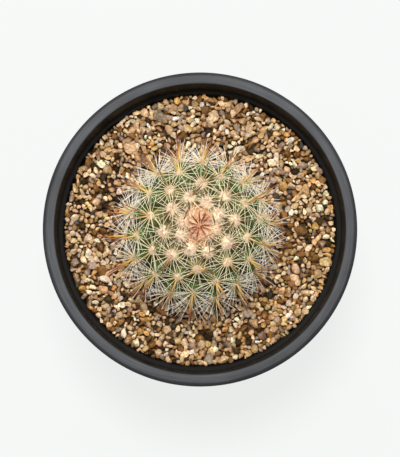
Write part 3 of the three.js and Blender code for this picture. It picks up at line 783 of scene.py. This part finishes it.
# The green darkens from each tubercle's tip towards the axils between tubercles: painted shade in the
# creases. The young ramp does the same.
green = ramp(tree, marks["Red"], [(0.15, GREEN_TIP), (0.45, GREEN_SIDE), (0.8, GREEN_BASE), (1.0, AXIL_SHADE)])
young = ramp(tree, marks["Red"], [(0.2, YOUNG_TIP), (0.9, YOUNG_AXIL_SHADE)])
downy = ramp(tree, marks["Green"], [(0.0, (1.0, 1.0, 1.0)), (0.1, (0.0, 0.0, 0.0))])
young = blend_colours(tree, downy, young, DOWN)
green = blend_colours(tree, marks["Green"], young, green)
patches = add_node(tree, "ShaderNodeTexNoise", {"Vector": object_space, "Scale": 160.0, "Detail": 4.0})
patch_tone = ramp(tree, patches.outputs["Fac"], [(0.3, (0.8, 0.84, 0.8)), (0.7, (1.12, 1.1, 1.16))])
green = toned(tree, green, patch_tone)
dots = add_node(tree, "ShaderNodeTexVoronoi", {"Vector": object_space, "Scale": 2200.0})
dot_tone = ramp(tree, dots.outputs["Distance"], [(0.1, (1.15, 1.15, 1.1)), (0.4, (1.0, 1.0, 1.0))])
green = toned(tree, green, dot_tone)
green = blend_colours(tree, marks["Blue"], green, ROOT_BROWN)
tree.links.new(green, shader.inputs["Base Color"])
add_bump(tree, shader, dots.outputs["Distance"], 0.0001, strength=0.25)
stem.data.materials.append(skin_paint)
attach(stem, "root")
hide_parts("cactus")

# Areole wool. Each tubercle ends in a cushion of fine felted wool, creamy white and thicker near the
# crown, peach to salmon where it is youngest, and worn thin on the oldest tubercles.
WOOL_RADIUS = 1.2 * MM
YOUNG_WOOL_RADIUS = 2.9 * MM
WOOL_WANES = (0.3, 1.05)
WOOL_CORE = 0.72
WOOL_CUTS = 5
WOOL_LUMPS = 0.16
WOOL_FLATTENING = 0.35
WOOL_SEAT = 0.35 * MM
WOOL_MARK_REACH = 30 * MM
FIBRES = 170
FIBRE_RADIUS = 0.055 * MM
FIBRE_LENGTHS = (0.8, 1.3)
FIBRE_START = 0.4
FIBRE_BOW = 0.16
TIP_THINNING = 0.8


def spikes(roots, tips, bow, radii, sides, steps, taper=3.0):
    """Tapered spikes with round sections from roots to tips, and each point's share of the length.

    A spike's middle line is a straight one plus bow times a parabola that is 0 at both ends.
    radii are those at the root. The width shrinks with the share of the length to the power taper.
    """
    count = len(roots)
    along = tips - roots
    aim = along / np.linalg.norm(along, axis=1, keepdims=True)
    helper = np.where(np.abs(aim[:, 2:3]) < 0.9, [[0.0, 0.0, 1.0]], [[1.0, 0.0, 0.0]])
    first = np.cross(aim, helper)
    first /= np.linalg.norm(first, axis=1, keepdims=True)
    second = np.cross(aim, first)
    share = np.linspace(0, 1, steps + 1)[:-1]
    line = roots[:, None] + along[:, None] * share[None, :, None]
    line = line + bow[:, None] * (4 * share * (1 - share))[None, :, None]
    width = radii[:, None] * (1 - TIP_THINNING * share[None, :] ** taper)
    turn = np.arange(sides) * 2 * math.pi / sides
    ring = np.cos(turn)[None, :, None] * first[:, None] + np.sin(turn)[None, :, None] * second[:, None]
    body = line[:, :, None] + width[:, :, None, None] * ring[:, None]
    points = np.concatenate([body.reshape(count, -1, 3), roots[:, None], tips[:, None]], 1)
    offset = (np.arange(count) * points.shape[1])[:, None, None]
    triangles = (end_fans(steps, sides)[None] + offset).reshape(-1, 3)
    quads = (ring_faces(steps, sides)[:, ::-1][None] + offset).reshape(-1, 4)
    shares = np.concatenate([np.repeat(share, sides), [0.0, 1.0]])
    return points.reshape(-1, 3), quads, triangles, np.tile(shares, count)


def areole_aims(chosen, around, lift):
    """Unit directions at areoles: around turns from down the flank, lift rises out of the skin."""
    down, across, out = areole_down[chosen], areole_across[chosen], areole_out[chosen]
    flat = np.cos(around)[:, None] * down + np.sin(around)[:, None] * across
    return np.cos(lift)[:, None] * flat + np.sin(lift)[:, None] * out


def areole_seats(depth):
    """The areoles' places on the plant, scaled in by depth."""
    return plant_points(areole_angle, areole_turn, np.full(len(pair), depth))


draw = np.random.default_rng(8)
wool_age = smooth_step(areole_angle, *WOOL_WANES)
wool_radius = YOUNG_WOOL_RADIUS + (WOOL_RADIUS - YOUNG_WOOL_RADIUS) * wool_age
wool_radius *= draw.uniform(0.9, 1.1, len(pair)) * (0.7 + 0.3 * smooth_step(areole_angle, 0.0, 0.3))
wool_seat = areole_seats(WOOL_SEAT)
ball, quads = cube_ball(WOOL_CUTS)
lumps = 1 + WOOL_LUMPS * draw.normal(size=(len(pair), len(ball), 1))
cushion = ball[None] * lumps * (wool_radius * WOOL_CORE)[:, None, None]
flat_part = (cushion * areole_out[:, None]).sum(2, keepdims=True) * areole_out[:, None]
cushion = cushion - WOOL_FLATTENING * flat_part + wool_seat[:, None]
cushion_faces = (quads[None] + (np.arange(len(pair)) * len(ball))[:, None, None]).reshape(-1, 4)
owner = np.repeat(np.arange(len(pair)), FIBRES)
around = draw.uniform(0, 2 * math.pi, len(owner))
lift = np.arcsin(draw.uniform(0.02, 1.0, len(owner)))
aims = areole_aims(owner, around, lift)
fibre_length = wool_radius[owner] * draw.uniform(*FIBRE_LENGTHS, len(owner))
fibre_root = wool_seat[owner] + aims * (FIBRE_START * fibre_length)[:, None]
fibre_tip = wool_seat[owner] + aims * fibre_length[:, None]
bow = draw.normal(0, FIBRE_BOW, (len(owner), 3)) * fibre_length[:, None]
fibre_points, fibre_quads, fibre_triangles, _ = spikes(
    fibre_root, fibre_tip, bow, np.full(len(owner), FIBRE_RADIUS), sides=3, steps=2)
shift = len(pair) * len(ball)
wool = add_piece(
    "areole_wool", np.concatenate([cushion.reshape(-1, 3), fibre_points]),
    np.concatenate([cushion_faces, fibre_quads + shift]), fibre_triangles + shift)
per_fibre = len(fibre_points) // len(owner)
wool_arc = np.concatenate([np.repeat(areole_angle, len(ball)), np.repeat(areole_angle[owner], per_fibre)])
wool_tone = np.concatenate([
    np.repeat(draw.uniform(0, 1, len(pair)), len(ball)),
    np.repeat(draw.uniform(0, 1, len(owner)), per_fibre)])
wool_marks = np.stack([wool_arc * BALL_RADIUS / WOOL_MARK_REACH, wool_tone, np.zeros_like(wool_tone)], -1)
colour_points(wool, "wool_marks", np.clip(wool_marks, 0, 1))

wool_paint, tree, shader = new_material(
    "areole_wool", roughness=0.9, Specular_IOR_Level=0.15, Sheen_Weight=0.4)
object_space = add_node(tree, "ShaderNodeTexCoord").outputs["Object"]
marks = point_marks(tree, "wool_marks")
SALMON = (0.93, 0.47, 0.24)
PEACH = (0.99, 0.67, 0.42)
CREAM = (0.99, 0.79, 0.57)
OLD = (0.76, 0.52, 0.27)
by_age = ramp(tree, marks["Red"], [(0.06, SALMON), (0.15, PEACH), (0.24, CREAM), (0.72, CREAM), (1.0, OLD)])
wool_shade = ramp(tree, marks["Green"], [(0.0, (0.9, 0.87, 0.84)), (1.0, (1.06, 1.05, 1.04))])
wool_colour = toned(tree, by_age, wool_shade)
fluff = add_node(tree, "ShaderNodeTexNoise", {"Vector": object_space, "Scale": 3500.0, "Detail": 3.0})
fluff_tone = ramp(tree, fluff.outputs["Fac"], [(0.3, (0.86, 0.83, 0.8)), (0.6, (1.04, 1.04, 1.04))])
wool_colour = toned(tree, wool_colour, fluff_tone)
tree.links.new(wool_colour, shader.inputs["Base Color"])
add_bump(tree, shader, fluff.outputs["Fac"], 0.0002, strength=0.6)
wool.data.materials.append(wool_paint)
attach(wool, "root")
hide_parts("cactus")

# Radial spines. About twenty thin stiff white needles fan out all round each cushion, close to the
# skin, the lower ones longer on the flank. Past the plant's outline they stand free over the gravel.
RADIALS = 20
OLD_RADIALS = 17
OLD_PAIR = 29
RADIAL_LENGTH = 8.4 * MM
OLD_LENGTH_SHARE = 0.88
LOWER_GAIN = 0.24
RADIAL_RADIUS = 0.09 * MM
OLD_GAIN = 0.2
FAN_SPREAD = 0.07
RADIAL_LIFT = (13, 4)
RADIAL_LENGTHS = (1, 0.08)
RADIAL_BOW = (-0.01, 0.012)
YOUNG_LENGTH_SHARE = 0.62
RADIAL_SEAT = 0.2 * MM
CLEARANCE = 1.2 * MM
BEND_ROUNDS = 40
BEND_STEP = 0.12


def clear_of_gravel(roots, aims, lengths, turns):
    """Bends low spines outwards in steps until their tips are clear of the gravel."""
    outward = np.stack([np.cos(turns), np.sin(turns), np.zeros_like(turns)], -1)
    lowest = GRAVEL_TOP + CLEARANCE
    for _ in range(BEND_ROUNDS):
        low = (roots[:, 2] + aims[:, 2] * lengths < lowest)[:, None]
        aims = np.where(low, aims + BEND_STEP * outward, aims)
        aims = aims / np.linalg.norm(aims, axis=1, keepdims=True)
    return aims


def add_spines(name, draw, ages, roots, tips, bow, radii, **shape):
    """A piece of fused spines, whose points store the share of the length, a tone and the age."""
    points, quads, triangles, share = spikes(roots, tips, bow, radii, **shape)
    piece = add_piece(name, points, quads, triangles)
    per_spine = len(points) // len(ages)
    tone = np.repeat(draw.uniform(0, 1, len(ages)), per_spine)
    colour_points(piece, "spine_marks", np.stack([share, tone, np.repeat(ages, per_spine)], -1))
    return piece


draw = np.random.default_rng(13)
bearers = np.flatnonzero(pair >= 0)
numbers = np.where(pair[bearers] < OLD_PAIR, RADIALS, OLD_RADIALS)
owner = np.repeat(bearers, numbers)
place = np.arange(len(owner)) - np.repeat(np.cumsum(numbers) - numbers, numbers)
around = place * 2 * math.pi / np.repeat(numbers, numbers)
around = around + np.repeat(draw.uniform(0, 2 * math.pi, len(bearers)), numbers)
around = around + draw.normal(0, FAN_SPREAD, len(owner))
lift = np.radians(draw.normal(*RADIAL_LIFT, len(owner)))
lengths = RADIAL_LENGTH * draw.normal(*RADIAL_LENGTHS, len(owner))
lengths *= YOUNG_LENGTH_SHARE + (1 - YOUNG_LENGTH_SHARE) * smooth_step(areole_angle[owner], 0.2, 0.6)
lengths *= 1 + LOWER_GAIN * areole_age[owner] * np.cos(around)
lengths *= np.where(pair[owner] < OLD_PAIR, 1.0, OLD_LENGTH_SHARE)
roots = areole_seats(RADIAL_SEAT)[owner]
aims = clear_of_gravel(roots, areole_aims(owner, around, lift), lengths, areole_turn[owner])
bow = areole_out[owner] * (draw.normal(*RADIAL_BOW, len(owner)) * lengths)[:, None]
radials = add_spines(
    "radial_spines", draw, areole_age[owner], roots, roots + aims * lengths[:, None], bow,
    RADIAL_RADIUS * (1 + OLD_GAIN * areole_age[owner]), sides=5, steps=5)

radial_paint, tree, shader = new_material("white_spines", roughness=0.45, Specular_IOR_Level=0.4)
marks = point_marks(tree, "spine_marks")
creamy = ramp(tree, marks["Red"], [
    (0.0, (0.9, 0.7, 0.3)), (0.4, (0.99, 0.9, 0.56)), (0.8, (0.99, 0.93, 0.74)), (1.0, (0.94, 0.83, 0.62))])
pale = ramp(tree, marks["Red"], [
    (0.0, (0.8, 0.62, 0.31)), (0.4, (0.93, 0.84, 0.65)), (0.7, (0.99, 0.95, 0.9)), (1.0, (0.99, 0.96, 0.94))])
white = blend_colours(tree, marks["Blue"], creamy, pale)
white_shade = ramp(tree, marks["Green"], [(0.0, (0.9, 0.89, 0.86)), (1.0, (1.0, 1.0, 1.0))])
tree.links.new(toned(tree, white, white_shade), shader.inputs["Base Color"])
radials.data.materials.append(radial_paint)
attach(radials, "root")
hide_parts("cactus")

# Central spines. One or two stouter needles stand out of the middle of each cushion and lean away
# from the crown, ochre at the root and red-brown to nearly black at the tip.
CENTRAL_LENGTH = 11.6 * MM
CENTRAL_RADIUS = 0.3 * MM
CENTRAL_TAPER = 1.9
CENTRAL_SEAT = 0.3 * MM
CENTRAL_LIFT = 50
OLD_DROP = 20
YOUNG_DROP = 14
LIFT_SPREAD = 7
CENTRAL_SPREAD = 0.2
YOUNG_SPREAD = 1.7
CENTRAL_BOW = 0.03
YOUNG_PAIR = 9
draw = np.random.default_rng(17)
bearers = np.flatnonzero(pair >= 0)
numbers = np.where(pair[bearers] < YOUNG_PAIR, 2, draw.integers(1, 3, len(bearers)))
owner = np.repeat(bearers, numbers)
grown = areole_grown[owner]
around = draw.normal(0, np.where(pair[owner] < YOUNG_PAIR, YOUNG_SPREAD, CENTRAL_SPREAD))
mean_lift = CENTRAL_LIFT - OLD_DROP * areole_age[owner] - YOUNG_DROP * (1 - grown)
lift = np.radians(draw.normal(mean_lift, LIFT_SPREAD))
lengths = CENTRAL_LENGTH * (0.6 + 0.4 * grown) * draw.uniform(0.85, 1.1, len(owner))
roots = areole_seats(CENTRAL_SEAT)[owner]
aims = clear_of_gravel(roots, areole_aims(owner, around, lift), lengths, areole_turn[owner])
bow = areole_out[owner] * (draw.normal(0.0, CENTRAL_BOW, len(owner)) * lengths)[:, None]
centrals = add_spines(
    "central_spines", draw, grown, roots, roots + aims * lengths[:, None], bow,
    CENTRAL_RADIUS * (0.72 + 0.28 * grown), sides=6, steps=8, taper=CENTRAL_TAPER)

central_paint, tree, shader = new_material("brown_spines", roughness=0.35, Specular_IOR_Level=0.5)
marks = point_marks(tree, "spine_marks")
OCHRE = (0.74, 0.49, 0.13)
ORANGE = (0.5, 0.24, 0.06)
RED_BROWN = (0.24, 0.08, 0.035)
TIP_BROWN = (0.07, 0.03, 0.025)
YOUNG_BROWN = (0.1, 0.045, 0.03)
old_tint = ramp(tree, marks["Red"], [(0.2, OCHRE), (0.45, ORANGE), (0.65, RED_BROWN), (1.0, TIP_BROWN)])
young_tint = ramp(tree, marks["Red"], [(0.05, ORANGE), (0.3, YOUNG_BROWN), (1.0, TIP_BROWN)])
spine_tint = blend_colours(tree, marks["Blue"], young_tint, old_tint)
tone = ramp(tree, marks["Green"], [(0.0, (0.75, 0.7, 0.66)), (1.0, (1.15, 1.1, 1.05))])
tree.links.new(toned(tree, spine_tint, tone), shader.inputs["Base Color"])
centrals.data.materials.append(central_paint)
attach(centrals, "root")
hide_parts("cactus")

# Crown. The growing point is a low pad of salmon wool. Young red-brown spines stand out of its middle
# and spread over it, so from above they make a star.
STAR_SPINES = 11
STAR_REACH = 5.6 * MM
STAR_REACHES = (0.72, 1.06)
STAR_RISES = (1.8, 2.5)
STAR_RADIUS = 0.2 * MM
STAR_BOW = 0.6 * MM
draw = np.random.default_rng(19)
crown = crown_point(0.0)[0]
turn = (np.arange(STAR_SPINES) + draw.uniform(-0.25, 0.25, STAR_SPINES)) * 2 * math.pi / STAR_SPINES
reach = STAR_REACH * draw.uniform(*STAR_REACHES, STAR_SPINES)
spread = np.stack([np.cos(turn), np.sin(turn), np.zeros(STAR_SPINES)], -1)
roots = crown + spread * draw.uniform(0.1, 0.7, (STAR_SPINES, 1)) * MM
tips = crown + spread * reach[:, None]
tips[:, 2] += draw.uniform(*STAR_RISES, STAR_SPINES) * MM
bow = np.zeros((STAR_SPINES, 3))
bow[:, 2] = STAR_BOW
star = add_spines(
    "crown_spines", draw, np.zeros(STAR_SPINES), roots, tips, bow, np.full(STAR_SPINES, STAR_RADIUS),
    sides=6, steps=7)
star_paint, tree, shader = new_material("young_spines", roughness=0.4, Specular_IOR_Level=0.4)
marks = point_marks(tree, "spine_marks")
red = ramp(tree, marks["Red"], [
    (0.0, (0.12, 0.022, 0.01)), (0.5, (0.22, 0.045, 0.02)), (1.0, (0.3, 0.08, 0.04))])
tone = ramp(tree, marks["Green"], [(0.0, (0.8, 0.75, 0.75)), (1.0, (1.15, 1.1, 1.1))])
tree.links.new(toned(tree, red, tone), shader.inputs["Base Color"])
star.data.materials.append(star_paint)

FELT_FIBRES = 1300
FELT_FIBRE_RADIUS = 0.06 * MM
FELT_LENGTHS = (0.9, 1.6)
FELT_BOW = 0.2
FELT_RADIUS = 3.5 * MM
FELT_REACH = 1.45
PAD_ROWS = 14
PAD_SIDES = 60
PAD_SWELL = 0.75 * MM
PAD_DEPTH = 1.6 * MM
span = FELT_REACH * FELT_RADIUS * np.sqrt(draw.uniform(0, 1, FELT_FIBRES))
turn = draw.uniform(0, 2 * math.pi, FELT_FIBRES)
seat = plant_points(span / BALL_RADIUS, turn, np.full(FELT_FIBRES, 0.6 * MM))
aims = unit_points(draw.uniform(0.1, 1.2, FELT_FIBRES), draw.uniform(0, 2 * math.pi, FELT_FIBRES))
felt_length = draw.uniform(*FELT_LENGTHS, FELT_FIBRES) * MM * (1 - 0.3 * span / FELT_RADIUS)
bow = draw.normal(0, FELT_BOW, (FELT_FIBRES, 3)) * felt_length[:, None]
felt_points, felt_quads, felt_triangles, _ = spikes(
    seat, seat + aims * felt_length[:, None], bow, np.full(FELT_FIBRES, FELT_FIBRE_RADIUS),
    sides=3, steps=3)
pad_span = np.linspace(0.02, 1, PAD_ROWS)
pad_angle, pad_turn = np.meshgrid(
    pad_span * FELT_RADIUS / BALL_RADIUS, np.arange(PAD_SIDES) * 2 * math.pi / PAD_SIDES, indexing="ij")
swell = PAD_SWELL * np.sqrt(np.clip(1 - pad_span ** 2, 0, 1))[:, None]
swell = swell + draw.normal(0, 0.09, pad_angle.shape) * MM
pad_top = plant_points(pad_angle.ravel(), pad_turn.ravel(), (0.45 * MM - swell).ravel())
pad_under = plant_points(pad_angle[::-1].ravel(), pad_turn.ravel(), np.full(pad_angle.size, PAD_DEPTH))
pad_faces = ring_faces(2 * PAD_ROWS, PAD_SIDES)[:, ::-1]
pad_fans = end_fans(2 * PAD_ROWS, PAD_SIDES)
pad_points = np.concatenate([pad_top, pad_under, crown_point(-0.3 * MM), crown_point(PAD_DEPTH)])
shift = len(pad_points)
felt = add_piece(
    "crown_wool", np.concatenate([pad_points, felt_points]),
    np.concatenate([pad_faces, felt_quads + shift]), np.concatenate([pad_fans, felt_triangles + shift]))
felt_place = np.concatenate([pad_points, felt_points]) - crown
felt_arc = np.hypot(felt_place[:, 0], felt_place[:, 1]) / WOOL_MARK_REACH
felt_tone = np.concatenate([
    np.full(len(pad_points), 0.8),
    np.repeat(draw.uniform(0, 1, FELT_FIBRES), len(felt_points) // FELT_FIBRES)])
colour_points(felt, "wool_marks", np.stack([felt_arc, felt_tone, 0 * felt_tone], -1))
felt.data.materials.append(wool_paint)
for piece in (star, felt):
    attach(piece, "root")
    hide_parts("cactus")
